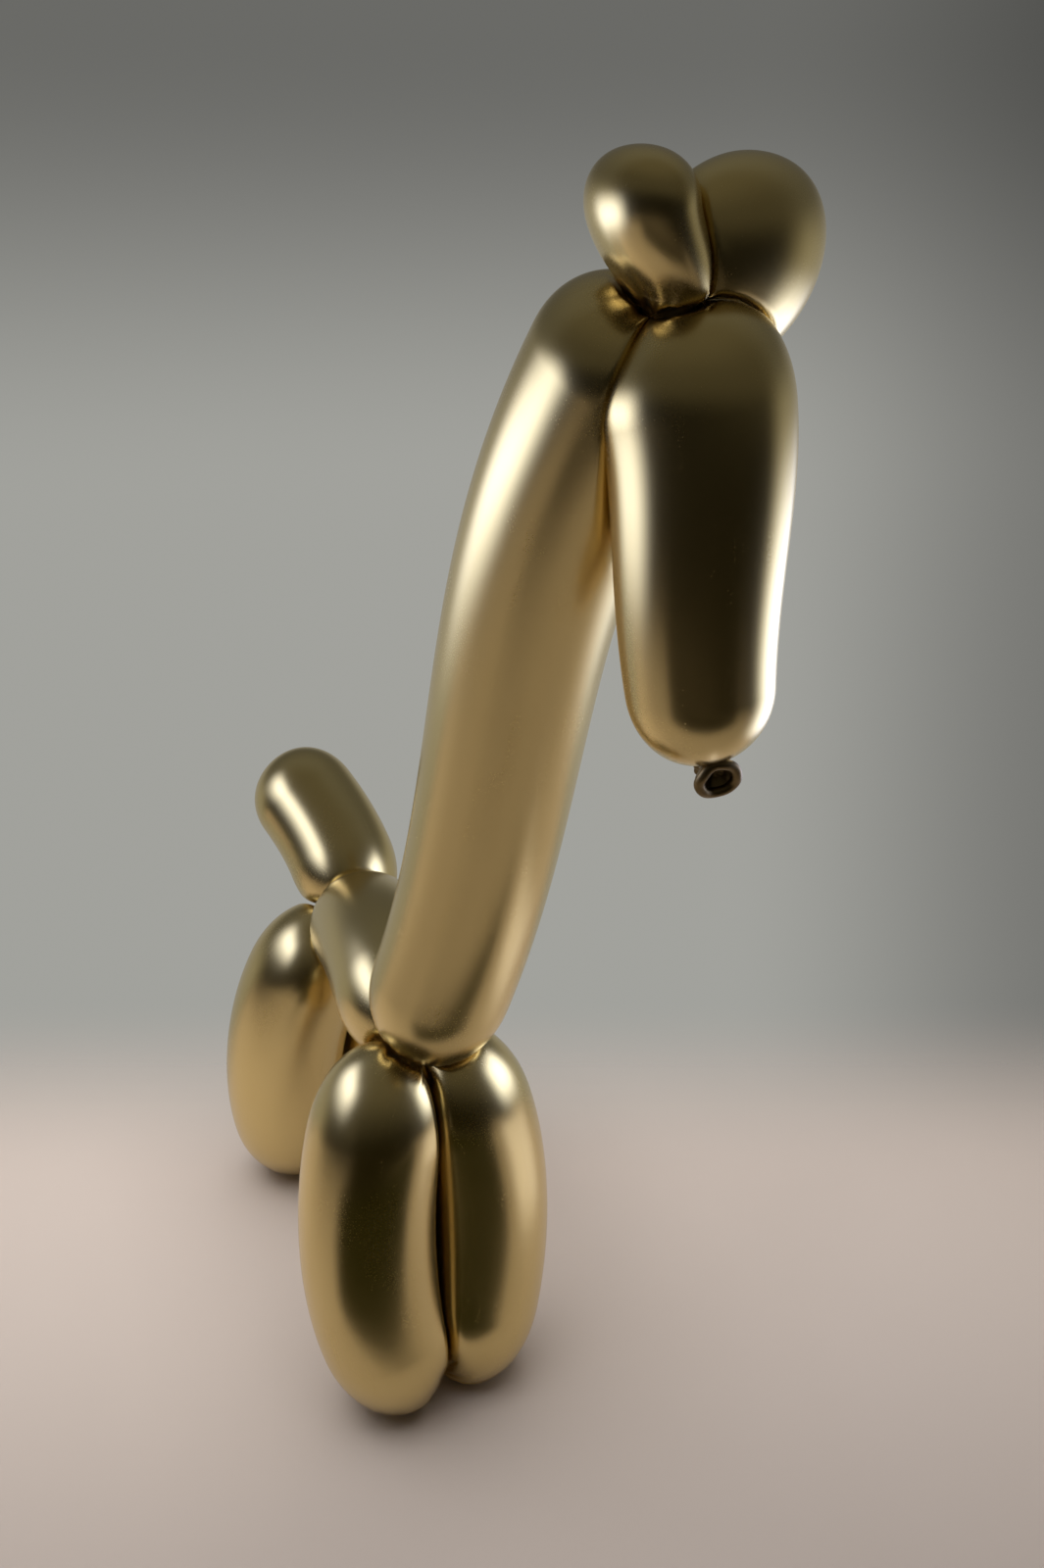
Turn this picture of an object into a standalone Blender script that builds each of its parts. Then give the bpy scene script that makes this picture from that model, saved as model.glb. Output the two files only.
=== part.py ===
# Giraffe twisted from one long party balloon, standing on four folded legs.
#
# The balloon is one sealed skin, so the whole figure is a single closed body. It is a chain of bubbles
# that meet at twists: muzzle, two ears, neck, two front legs, back, two hind legs and tail.
# The figure faces -Y. Its own left is +X, and it stands on the plane z = 0.

from dataclasses import dataclass

import bmesh
import bpy
import numpy as np

MM = 0.001

# Bubble diameters
FRONT_LEG_DIAMETER = 49.0 * MM
HIND_LEG_DIAMETER = 49.8 * MM
BACK_DIAMETER = 45.4 * MM
TAIL_DIAMETER = 44.0 * MM
NECK_DIAMETER = 47.4 * MM
CROWN_DIAMETER = 50.0 * MM
MUZZLE_DIAMETER = 34.8 * MM
RIGHT_EAR_DIAMETER = 23.0 * MM
LEFT_EAR_DIAMETER = 45.6 * MM
EAR_THICKNESS = 31.0 * MM

# Where the twists lie, as (to the figure's left, ahead, up)
SHOULDER_TWIST = (0.0 * MM, 0.0 * MM, 134.2 * MM)
HIP_TWIST = (18.7 * MM, -102.1 * MM, 130.9 * MM)
CROWN_TWIST = (25.1 * MM, 93.5 * MM, 372.2 * MM)
HIP_TURN = np.radians(-9.4)

# The front legs, measured from under the shoulder twist. Their spread follows their diameter, so that
# the two legs of a pair always press together.
FRONT_LEG_SPREAD_TOP = 0.594 * FRONT_LEG_DIAMETER
FRONT_LEG_SPREAD_FOOT = 0.553 * FRONT_LEG_DIAMETER
FRONT_LEG_AHEAD_TOP = 9.4 * MM
FRONT_LEG_AHEAD_FOOT = 10.8 * MM
FRONT_FOLD_AHEAD = 22.7 * MM
FRONT_FOLD_SPREAD = 1.0 * MM
FRONT_FEET_LEAN = -4.2 * MM

# The hind legs, measured from under the hip twist and turned with it
HIND_LEG_SPREAD_TOP = 0.615 * HIND_LEG_DIAMETER
HIND_LEG_SPREAD_FOOT = 0.620 * HIND_LEG_DIAMETER
HIND_LEG_AHEAD_TOP = -21.9 * MM
HIND_LEG_AHEAD_FOOT = -20.5 * MM
HIND_FOLD_AHEAD = -33.5 * MM
HIND_FOLD_SPREAD = 4.7 * MM
HIND_LEGS_LEAN = -2.9 * MM
HIND_FEET_LEAN = -3.6 * MM

# Heights on every leg: how far the bend lies below its twist, the foot's bend and the fold between the feet
LEG_BEND_DROP = 25.2 * MM
FOOT_BEND_HEIGHT = 23.2 * MM
FOOT_FOLD_HEIGHT = 8.6 * MM
TWIST_GAP = 1.6 * MM
FOOT_FLAT_DEPTH = 0.8 * MM

# The back's arch, the tail's tip and sway, and the neck's two guide points
BACK_ARCH = (0.9 * MM, 0.0 * MM, 12.0 * MM)
TAIL_TIP = (-10.2 * MM, -59.6 * MM, 52.4 * MM)
TAIL_SWAY = (7.0 * MM, 5.1 * MM, -1.0 * MM)
NECK_RISE = (32.3 * MM, 27.9 * MM, 96.4 * MM)
NECK_CREST = (-9.0 * MM, -73.2 * MM, -71.5 * MM)

# The muzzle and the ears, measured from the crown twist
MUZZLE_BROW = (17.6 * MM, 12.2 * MM, -29.0 * MM)
MUZZLE_CHEEK = (-0.4 * MM, 7.6 * MM, -34.0 * MM)
MUZZLE_TIP = (12.2 * MM, 13.1 * MM, -103.2 * MM)
RIGHT_EAR_BASE = (6.4 * MM, 1.5 * MM, 11.6 * MM)
RIGHT_EAR_BEND = (-6.8 * MM, 3.9 * MM, 20.9 * MM)
RIGHT_EAR_TIP = (-12.4 * MM, 5.2 * MM, 33.3 * MM)
LEFT_EAR_BASE = (12.4 * MM, 5.0 * MM, 4.0 * MM)
LEFT_EAR_BEND = (26.0 * MM, 5.6 * MM, 14.6 * MM)
LEFT_EAR_TIP = (31.6 * MM, 1.8 * MM, 32.0 * MM)

# The gathered rubber at a twist, and the tied nozzle
TWIST_DIAMETER = 13.0 * MM
KNOT_DIAMETER = 7.0 * MM
NOZZLE_DIAMETER = 12.4 * MM
NOZZLE_ROLL_DIAMETER = 2.8 * MM
NOZZLE_CUP_DEPTH = 2.2 * MM
NOZZLE_CUP_DIAMETER = 4.3 * MM
NOZZLE_REACH = 7.4 * MM
NOZZLE_FLARE = 1.9 * MM
NOZZLE_FACING = (-0.22, 0.90, -0.38)

# Length of a bubble's rounded end, in radii of that end
TWISTED_END = 1.3
BLUNT_END = 1.1
FREE_END = 1.05
BUBBLE_FULLNESS = 2.2
LONGEST_CAPS = 0.98

# Fineness of the surface
SIDES = 20
RING_STEP = 9.0 * MM
CAP_RINGS = 5

GOLD = (0.66, 0.49, 0.22, 1.0)
GOLD_ROUGHNESS = 0.24
GOLD_METALLIC = 1.0


@dataclass
class Bubble:
    """One bubble: a curved centreline with two guide points, and a radius at each end.

    A thickness makes it oval: that much from front to back, where zero leaves it round.
    """

    path: tuple
    start_radius: float
    end_radius: float
    start_cap: float = TWISTED_END
    end_cap: float = TWISTED_END
    thickness: float = 0.0

    def front_to_back(self):
        """How thick the bubble is from front to back, as a share of its width."""
        return self.thickness / (self.start_radius + self.end_radius) if self.thickness else 1.0


def clear_scene():
    """Empty the scene of whatever it opened with."""
    for item in list(bpy.data.objects):
        bpy.data.objects.remove(item, do_unlink=True)


def spot(point, base=(0.0, 0.0, 0.0)):
    """Turn (left, ahead, up), measured from base, into scene coordinates."""
    left, ahead, up = np.add(point, base)
    return np.array([left, -ahead, up])


def hip_spot(left, ahead, up):
    """A point measured from under the hip twist, turned with the hind legs."""
    turned_left = left * np.cos(HIP_TURN) - ahead * np.sin(HIP_TURN)
    turned_ahead = left * np.sin(HIP_TURN) + ahead * np.cos(HIP_TURN)
    return spot((HIP_TWIST[0] + turned_left, HIP_TWIST[1] + turned_ahead, up))


def unit(vectors):
    """Vectors at length one."""
    return vectors / np.linalg.norm(vectors, axis=-1, keepdims=True)


def cubic(path, samples=400):
    """Points along the cubic curve from path[0] to path[3], pulled by the two points between."""
    t = np.linspace(0.0, 1.0, samples)[:, None]
    a, b, c, d = path
    return (1 - t) ** 3 * a + 3 * t * (1 - t) ** 2 * b + 3 * t * t * (1 - t) * c + t ** 3 * d


def arc_lengths(points):
    """Distance along a polyline to each of its points."""
    return np.concatenate([[0.0], np.cumsum(np.linalg.norm(np.diff(points, axis=0), axis=1))])


def rounded(distance, cap_length):
    """Share of the full radius at a distance from a rounded end: nothing at the end, all past the cap."""
    rise = np.clip(distance / cap_length, 0.0, 1.0)
    return (1.0 - (1.0 - rise) ** BUBBLE_FULLNESS) ** (1.0 / BUBBLE_FULLNESS)


def ring_places(length, start_cap, end_cap):
    """Distances along a bubble for its rings: close together on the caps, evenly spaced between."""
    share = 1.0 - np.cos(np.linspace(0.0, np.pi / 2, CAP_RINGS + 1)[1:])
    start = start_cap * share
    end = length - end_cap * share[::-1]
    count = max(2, int(np.ceil((end[0] - start[-1]) / RING_STEP)) + 1)
    return np.concatenate([start[:-1], np.linspace(start[-1], end[0], count), end[1:]])


def side_vectors(directions):
    """Two vectors square to each direction, the first as near to sideways as the curve allows."""
    seed = np.array([1.0, 0.0, 0.0])
    across = []
    for direction in directions:
        seed = unit(seed - direction * np.dot(seed, direction))
        across.append(seed)
    across = np.array(across)
    return across, np.cross(directions, across)


def cap_lengths(bubble, length):
    """Lengths of a bubble's two rounded ends, which share out a bubble too short for both."""
    start_cap = bubble.start_cap * bubble.start_radius
    end_cap = bubble.end_cap * bubble.end_radius
    share = min(1.0, LONGEST_CAPS * length / (start_cap + end_cap))
    return start_cap * share, end_cap * share


def bubble_surface(bubble):
    """Rings of points on a bubble, and its two end points."""
    line = cubic(bubble.path)
    along = arc_lengths(line)
    length = along[-1]
    start_cap, end_cap = cap_lengths(bubble, length)
    places = ring_places(length, start_cap, end_cap)
    centres = np.stack([np.interp(places, along, line[:, i]) for i in range(3)], axis=1)
    heading = np.gradient(line, axis=0)
    directions = unit(np.stack([np.interp(places, along, heading[:, i]) for i in range(3)], axis=1))
    radius = bubble.start_radius + (bubble.end_radius - bubble.start_radius) * places / length
    radius = radius * rounded(places, start_cap) * rounded(length - places, end_cap)
    across, up = side_vectors(directions)
    turn = np.linspace(0.0, 2 * np.pi, SIDES, endpoint=False)
    oval = bubble.front_to_back()
    spokes = np.cos(turn)[None, :, None] * across[:, None] + oval * np.sin(turn)[None, :, None] * up[:, None]
    return centres[:, None] + radius[:, None, None] * spokes, line[0], line[-1]


def closed_skin(name, rings, start, end):
    """A closed mesh object from rings of points and a point at each end."""
    count, sides = rings.shape[:2]
    points = np.vstack([rings.reshape(-1, 3), start, end])
    faces = []
    for ring in range(count - 1):
        for side in range(sides):
            here, beside = ring * sides + side, ring * sides + (side + 1) % sides
            faces.append((here, beside, beside + sides, here + sides))
    last = (count - 1) * sides
    for side in range(sides):
        beside = (side + 1) % sides
        faces.append((count * sides, beside, side))
        faces.append((count * sides + 1, last + side, last + beside))
    mesh = bpy.data.meshes.new(name)
    mesh.from_pydata(points.tolist(), [], faces)
    item = bpy.data.objects.new(name, mesh)
    bpy.context.scene.collection.objects.link(item)
    return item


def twist_ball(lock):
    """The small round lump of rubber gathered at a twist."""
    bpy.ops.mesh.primitive_uv_sphere_add(
        segments=12, ring_count=8, radius=TWIST_DIAMETER / 2, location=spot(lock)
    )
    return bpy.context.object


def stand_on_floor(rings, start, end, lock_height):
    """Lower or raise a leg so that its foot just sinks into the floor plane, and its lock stays put."""
    shift = -FOOT_FLAT_DEPTH - rings[..., 2].min()
    foot_height = rings[..., 2].min()

    def settle(points):
        share = np.clip((lock_height - points[..., 2]) / (lock_height - foot_height), 0.0, 1.0)
        points[..., 2] += shift * share
        return points

    return settle(rings), settle(start), settle(end)


def front_leg(side):
    """A front leg's bubble: side is -1 for the figure's right and 1 for its left."""
    top = SHOULDER_TWIST[2]
    return Bubble(
        path=(
            spot((side * TWIST_GAP, 0.0, 0.0), SHOULDER_TWIST),
            spot((side * FRONT_LEG_SPREAD_TOP, FRONT_LEG_AHEAD_TOP, top - LEG_BEND_DROP)),
            spot((side * FRONT_LEG_SPREAD_FOOT + FRONT_FEET_LEAN, FRONT_LEG_AHEAD_FOOT, FOOT_BEND_HEIGHT)),
            spot((side * FRONT_FOLD_SPREAD + FRONT_FEET_LEAN, FRONT_FOLD_AHEAD, FOOT_FOLD_HEIGHT)),
        ),
        start_radius=FRONT_LEG_DIAMETER / 2,
        end_radius=FRONT_LEG_DIAMETER / 2,
    )


def hind_leg(side):
    """A hind leg's bubble, laid out as the front ones are."""
    top = HIP_TWIST[2]
    return Bubble(
        path=(
            hip_spot(side * TWIST_GAP, 0.0, top),
            hip_spot(side * HIND_LEG_SPREAD_TOP + HIND_LEGS_LEAN, HIND_LEG_AHEAD_TOP, top - LEG_BEND_DROP),
            hip_spot(side * HIND_LEG_SPREAD_FOOT + HIND_FEET_LEAN, HIND_LEG_AHEAD_FOOT, FOOT_BEND_HEIGHT),
            hip_spot(side * HIND_FOLD_SPREAD + HIND_FEET_LEAN, HIND_FOLD_AHEAD, FOOT_FOLD_HEIGHT),
        ),
        start_radius=HIND_LEG_DIAMETER / 2,
        end_radius=HIND_LEG_DIAMETER / 2,
    )


def bowed(start, end, bow):
    """A cubic path from start to end whose middle is moved off the straight line by bow."""
    pull = 4.0 / 3.0 * bow
    return start, start + (end - start) / 3 + pull, start + (end - start) * 2 / 3 + pull, end


def trunk_bubbles():
    """The back, tail and neck."""
    shoulder, hip, crown = spot(SHOULDER_TWIST), spot(HIP_TWIST), spot(CROWN_TWIST)
    return {
        "back": Bubble(bowed(shoulder, hip, spot(BACK_ARCH)), BACK_DIAMETER / 2, BACK_DIAMETER / 2),
        "tail": Bubble(
            bowed(hip, spot(TAIL_TIP, HIP_TWIST), spot(TAIL_SWAY)),
            TAIL_DIAMETER / 2, TAIL_DIAMETER / 2, end_cap=FREE_END,
        ),
        "neck": Bubble(
            (shoulder, spot(NECK_RISE, SHOULDER_TWIST), spot(NECK_CREST, CROWN_TWIST), crown),
            NECK_DIAMETER / 2, NECK_DIAMETER / 2, end_cap=BLUNT_END,
        ),
    }


def head_bubbles():
    """The muzzle and the two ears, all from the crown twist."""

    def path(*points):
        return tuple(spot(point, CROWN_TWIST) for point in ((0.0, 0.0, 0.0),) + points)

    return {
        "muzzle": Bubble(
            path(MUZZLE_BROW, MUZZLE_CHEEK, MUZZLE_TIP),
            CROWN_DIAMETER / 2, MUZZLE_DIAMETER / 2, start_cap=BLUNT_END, end_cap=BLUNT_END,
        ),
        "right_ear": Bubble(
            path(RIGHT_EAR_BASE, RIGHT_EAR_BEND, RIGHT_EAR_TIP),
            RIGHT_EAR_DIAMETER / 2, RIGHT_EAR_DIAMETER / 2, end_cap=FREE_END, thickness=EAR_THICKNESS,
        ),
        "left_ear": Bubble(
            path(LEFT_EAR_BASE, LEFT_EAR_BEND, LEFT_EAR_TIP),
            LEFT_EAR_DIAMETER / 2, LEFT_EAR_DIAMETER / 2, end_cap=FREE_END, thickness=EAR_THICKNESS,
        ),
    }


def nozzle():
    """The tied mouth of the balloon: a short neck that flares into a rolled lip with a shallow cup."""
    facing = unit(spot(NOZZLE_FACING))
    tip = spot(MUZZLE_TIP, CROWN_TWIST)
    rim = NOZZLE_DIAMETER / 2
    roll = NOZZLE_ROLL_DIAMETER / 2
    # The outline, from the knot to the bottom of the cup: (distance along the facing, radius)
    neck = KNOT_DIAMETER / 2
    outline = [(-NOZZLE_REACH, neck), (-NOZZLE_FLARE - neck / 2, neck), (-NOZZLE_FLARE, (neck + rim) / 2)]
    for turn in np.radians(np.linspace(-100.0, 200.0, 8)):
        outline.append((roll * np.sin(turn), rim - roll + roll * np.cos(turn)))
    outline.append((-NOZZLE_CUP_DEPTH, NOZZLE_CUP_DIAMETER / 2))
    across, up = side_vectors(facing[None])
    turn = np.linspace(0.0, 2 * np.pi, SIDES, endpoint=False)
    spokes = np.cos(turn)[:, None] * across + np.sin(turn)[:, None] * up
    centre = tip + NOZZLE_REACH * facing
    rings = np.array([centre + along * facing + radius * spokes for along, radius in outline])
    start = centre - NOZZLE_REACH * facing
    end = centre - NOZZLE_CUP_DEPTH * facing
    return closed_skin("nozzle", rings, start, end)


def boolean(item, other, operation):
    """Join other to item, or cut it away, and keep the result as item's own mesh."""
    change = item.modifiers.new(operation.lower(), "BOOLEAN")
    change.operation = operation
    change.solver = "EXACT"
    change.object = other
    graph = bpy.context.evaluated_depsgraph_get()
    mesh = bpy.data.meshes.new_from_object(item.evaluated_get(graph))
    item.modifiers.clear()
    item.data = mesh
    bpy.data.objects.remove(other, do_unlink=True)


def face_islands(shape):
    """The mesh's faces in groups that hang together."""
    left = set(shape.faces)
    while left:
        front = [left.pop()]
        island = []
        while front:
            face = front.pop()
            island.append(face)
            beside = {near for edge in face.edges for near in edge.link_faces} & left
            left -= beside
            front.extend(beside)
        yield island


def fill_pockets(item):
    """Fill the small closed pockets that are left where rounded ends press together round a twist."""
    shape = bmesh.new()
    shape.from_mesh(item.data)
    pockets = []
    for island in face_islands(shape):
        volume = sum(face.calc_center_median().dot(face.normal) * face.calc_area() for face in island) / 3
        if volume < 0:
            pockets.extend(island)
    bmesh.ops.delete(shape, geom=pockets, context="FACES")
    shape.to_mesh(item.data)
    shape.free()


def floor_block():
    """A block under the floor plane, wide enough to trim all four feet."""
    reach = 1.0
    bpy.ops.mesh.primitive_cube_add(size=reach, location=(0.0, 0.0, -reach / 2))
    return bpy.context.object


def gold_rubber():
    """Metallic gold balloon rubber."""
    material = bpy.data.materials.new("gold_rubber")
    material.use_nodes = True
    shader = material.node_tree.nodes["Principled BSDF"]
    shader.inputs["Base Color"].default_value = GOLD
    shader.inputs["Roughness"].default_value = GOLD_ROUGHNESS
    shader.inputs["Metallic"].default_value = GOLD_METALLIC
    return material


def centre_on_base(item):
    """Move the mesh so that the middle of its base box is the origin."""
    points = np.array([vertex.co for vertex in item.data.vertices])
    low, high = points.min(axis=0), points.max(axis=0)
    points -= [(low[0] + high[0]) / 2, (low[1] + high[1]) / 2, low[2]]
    item.data.vertices.foreach_set("co", points.ravel())
    item.data.update()


def build_giraffe():
    """Blow up every bubble, join them into one skin and stand it on its feet."""
    skins = [closed_skin(name, *bubble_surface(bubble)) for name, bubble in trunk_bubbles().items()]
    for make, lock in ((front_leg, SHOULDER_TWIST), (hind_leg, HIP_TWIST)):
        for side in (-1, 1):
            rings, start, end = stand_on_floor(*bubble_surface(make(side)), lock_height=lock[2])
            skins.append(closed_skin("leg", rings, start, end))
    skins.extend(closed_skin(name, *bubble_surface(bubble)) for name, bubble in head_bubbles().items())
    skins.extend(twist_ball(lock) for lock in (SHOULDER_TWIST, HIP_TWIST, CROWN_TWIST))
    skins.append(nozzle())

    giraffe, *others = skins
    giraffe.name = "balloon"
    for skin in others:
        boolean(giraffe, skin, "UNION")
    fill_pockets(giraffe)
    boolean(giraffe, floor_block(), "DIFFERENCE")
    centre_on_base(giraffe)
    giraffe.data.materials.clear()
    giraffe.data.materials.append(gold_rubber())
    giraffe.data.shade_smooth()
    giraffe.data.set_sharp_from_angle(angle=np.radians(50.0))


clear_scene()
build_giraffe()
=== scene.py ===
"""Looks for a giraffe twisted from one long metallic gold party balloon, standing on four folded legs.

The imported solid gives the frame, the size and the pose. Each bubble is blown up again here on the same
centreline, fine enough for a mirror finish, pressed flat against its neighbours and pleated at its twists.
The figure faces -Y and its own left is +X. All lengths are in metres.
"""

import logging
from dataclasses import dataclass, field
from enum import Enum

import bpy
import numpy as np
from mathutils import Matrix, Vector


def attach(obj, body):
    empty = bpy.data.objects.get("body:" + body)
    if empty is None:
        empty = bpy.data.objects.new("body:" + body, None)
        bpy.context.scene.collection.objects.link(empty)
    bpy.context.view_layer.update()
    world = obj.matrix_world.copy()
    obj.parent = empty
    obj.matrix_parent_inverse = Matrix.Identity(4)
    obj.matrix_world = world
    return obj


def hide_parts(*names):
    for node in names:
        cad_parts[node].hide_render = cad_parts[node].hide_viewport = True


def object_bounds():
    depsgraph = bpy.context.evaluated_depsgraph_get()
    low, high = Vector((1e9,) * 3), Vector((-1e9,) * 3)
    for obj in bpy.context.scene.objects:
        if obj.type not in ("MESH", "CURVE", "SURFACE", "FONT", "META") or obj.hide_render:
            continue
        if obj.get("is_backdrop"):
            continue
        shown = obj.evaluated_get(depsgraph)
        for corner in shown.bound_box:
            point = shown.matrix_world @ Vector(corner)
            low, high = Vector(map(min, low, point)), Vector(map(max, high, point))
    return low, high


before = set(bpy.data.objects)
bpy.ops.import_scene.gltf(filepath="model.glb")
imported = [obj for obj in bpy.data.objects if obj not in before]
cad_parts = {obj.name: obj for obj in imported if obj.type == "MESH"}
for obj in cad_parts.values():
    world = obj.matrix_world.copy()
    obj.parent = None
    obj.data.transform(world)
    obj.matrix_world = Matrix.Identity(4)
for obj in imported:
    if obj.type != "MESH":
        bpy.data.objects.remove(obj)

LOG = logging.getLogger("balloon_giraffe")
MM = 0.001
Pair = tuple[float, float]
Triple = tuple[float, float, float]
Colour = tuple[float, float, float, float]
Path = tuple[Triple, Triple, Triple, Triple]
CAD_LOW, CAD_HIGH = (np.array(corner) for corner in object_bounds())


# Shapes

def unit(vectors: np.ndarray) -> np.ndarray:
    """Vectors at length one."""
    return vectors / np.maximum(np.linalg.norm(vectors, axis=-1, keepdims=True), 1e-12)


def spot(left: float, ahead: float, up: float) -> np.ndarray:
    """A point given as millimetres to the figure's left, ahead of it and up, in scene coordinates."""
    return np.array([left, -ahead, up]) * MM


def soft_floor(values: np.ndarray, softness: float) -> np.ndarray:
    """Zero below zero and the value itself above, with a rounded step between.

    Within softness of zero it follows the parabola (value + softness) squared over four times softness.
    """
    bend = (values + softness) ** 2 / (4 * softness)
    return np.where(values > softness, values, np.where(values < -softness, 0.0, bend))


class End(Enum):
    """How a bubble ends: the length of its rounding, in radii of that end."""

    TWISTED = 1.3
    BLUNT = 1.1
    FREE = 1.05
    SNUG = 0.85


@dataclass
class Bubble:
    """One bubble of the balloon, from its path to its finished skin.

    Args:
        name: The name of the piece.
        path: Four points that pull the centreline, a cubic curve.
        diameters: Thickness at the start and at the end.
        ends: How the start and the end are rounded.
        thickness: Front-to-back thickness of an oval bubble, where zero leaves it round.
        pleated: Whether the start and the end are gathered into pleats by a twist.
        stands_under: Height of the twist above a leg that stands on the floor, or zero.
        yielding: How much of an overlap this bubble takes, against its neighbour's own number.
        lip: Half the width of the rounded lip round each of its contacts.
        seed: Starts the random widths and places of the pleats.
        rows: Rings of points along it.
        sides: Points round each ring.
        points: Its skin as rings by sides by x, y, z.
    """

    name: str
    path: np.ndarray
    diameters: Pair
    ends: tuple[End, End] = (End.TWISTED, End.TWISTED)
    thickness: float = 0.0
    pleated: tuple[bool, bool] = (True, True)
    stands_under: float = 0.0
    yielding: float = 1.0
    lip: float = 3.0 * MM
    seed: int = 1
    rows: int = 300
    sides: int = 224
    points: np.ndarray = field(init=False, repr=False)

    FULLNESS = 2.2
    LONGEST_ENDS = 0.98
    FOOT_FLAT = 0.8 * MM
    SAMPLES = 260
    STEEPEST = 2.5
    LEAST_FACING = 0.6
    MOST_GIVE = 0.9
    MOST_PLEAT = 0.5
    CALM_REACH = 2.5 * MM
    THICK_REACH = 13 * MM
    BLOCK = 16000

    def __post_init__(self) -> None:
        """Lay the centreline and blow up the bare skin on it."""
        t = np.linspace(0.0, 1.0, self.SAMPLES)[:, None]
        a, b, c, d = self.path
        self.line = (1 - t) ** 3 * a + 3 * t * (1 - t) ** 2 * b + 3 * t * t * (1 - t) * c + t ** 3 * d
        steps = np.linalg.norm(np.diff(self.line, axis=0), axis=1)
        self.along = np.concatenate([[0.0], np.cumsum(steps)])
        self.length = self.along[-1]
        self.heading = unit(np.gradient(self.line, axis=0))
        self.across = self.carried_sides()
        self.oval = self.thickness / (sum(self.diameters) / 2) if self.thickness else 1.0
        self.points = self.swept_skin()
        if self.stands_under:
            lowest = self.points[..., 2].min()
            for part in (self.points, self.line):
                share = np.clip((self.stands_under - part[..., 2]) / (self.stands_under - lowest), 0.0, 1.0)
                part[..., 2] -= (self.FOOT_FLAT + lowest) * share

    def carried_sides(self) -> np.ndarray:
        """Sideways directions along the centreline that don't twist about it.

        The x axis is laid square to each heading, then turned by the running sum of the small turns
        between one heading and the next.
        """
        x_axis = np.array([1.0, 0.0, 0.0])
        flat = unit(x_axis - self.heading * (self.heading @ x_axis)[:, None])
        over = np.cross(self.heading, flat)
        small_turns = np.arctan2((flat[:-1] * over[1:]).sum(1), (flat[:-1] * flat[1:]).sum(1))
        turn = np.concatenate([[0.0], np.cumsum(small_turns)])[:, None]
        return np.cos(turn) * flat + np.sin(turn) * over

    def end_lengths(self) -> Pair:
        """Lengths of the two rounded ends, shared out where the bubble is too short for both."""
        start, finish = (end.value * diameter / 2 for end, diameter in zip(self.ends, self.diameters))
        share = min(1.0, self.LONGEST_ENDS * self.length / (start + finish))
        return start * share, finish * share

    def radius(self, places: np.ndarray) -> np.ndarray:
        """Radius at distances along the bubble.

        It runs evenly from one end's to the other's, and on each rounded end falls to nothing by a
        share of (1 - (1 - rise) ** f) ** (1 / f), where rise is the distance from the end over the
        rounding's length and f is the fullness.
        """
        first, last = self.diameters[0] / 2, self.diameters[1] / 2
        size = first + (last - first) * places / self.length
        for distance, reach in zip((places, self.length - places), self.end_lengths()):
            rise = np.clip(distance / reach, 0.0, 1.0)
            size = size * (1.0 - (1.0 - rise) ** self.FULLNESS) ** (1.0 / self.FULLNESS)
        return size

    def at(self, values: np.ndarray, places: np.ndarray) -> np.ndarray:
        """Vectors given along the centreline, read off at other distances along it."""
        return np.stack([np.interp(places, self.along, values[:, i]) for i in range(3)], axis=-1)

    def swept_skin(self) -> np.ndarray:
        """Rings of points, closer together towards both ends.

        A point is the centre plus the radius times (cosine of its turn across plus oval times sine up).
        """
        share = (1 - np.cos(np.pi * (np.arange(self.rows) + 0.5) / self.rows)) / 2
        self.places = share * self.length
        heading, across = unit(self.at(self.heading, self.places)), unit(self.at(self.across, self.places))
        up = np.cross(heading, across)
        self.turn = np.linspace(0.0, 2 * np.pi, self.sides, endpoint=False)
        spokes = np.cos(self.turn)[None, :, None] * across[:, None]
        spokes = spokes + self.oval * np.sin(self.turn)[None, :, None] * up[:, None]
        return self.at(self.line, self.places)[:, None] + self.radius(self.places)[:, None, None] * spokes

    def gap(self, points: np.ndarray) -> tuple[np.ndarray, np.ndarray]:
        """How far points lie outside this bubble's bare skin.

        Each point is compared with the nearest place on the centreline: its distance from there, with
        the oval undone, less the radius there, over the root of one plus the skin's slope squared.

        Args:
            points: Points as an array whose last axis is x, y, z.

        Returns:
            The gap, negative inside, and the outward directions.
        """
        flat = points.reshape(-1, 3)
        line_squared = (self.line ** 2).sum(1)
        blocks = np.array_split(flat, max(1, len(flat) // self.BLOCK))
        nearest = np.concatenate([np.argmin(line_squared - 2 * block @ self.line.T, axis=1) for block in blocks])
        offset = flat - self.line[nearest]
        forward = (offset * self.heading[nearest]).sum(1)
        place = self.along[nearest] + forward
        past_end = np.maximum(np.maximum(-place, place - self.length), 0.0)
        sideways = (offset * self.across[nearest]).sum(1)
        over = (offset * np.cross(self.heading[nearest], self.across[nearest])).sum(1) / self.oval
        distance = np.sqrt(sideways ** 2 + over ** 2 + past_end ** 2)
        size = self.radius(self.along)
        slope = np.clip(np.gradient(size, self.along), -self.STEEPEST, self.STEEPEST)
        steepness = np.sqrt(1 + np.interp(place, self.along, slope) ** 2)
        gap = (distance - np.interp(place, self.along, size)) / steepness
        return gap.reshape(points.shape[:-1]), unit(offset).reshape(points.shape)

    def inward(self) -> tuple[np.ndarray, np.ndarray]:
        """Directions in which the skin gives way, and how far it could: to the middle of its rounding."""
        start, finish = self.end_lengths()
        low = min(start, self.length - finish)
        aims = self.at(self.line, np.clip(self.places, low, max(low, self.length - finish)))[:, None]
        room = np.linalg.norm(aims - self.points, axis=-1)
        return unit(aims - self.points), room

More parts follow.
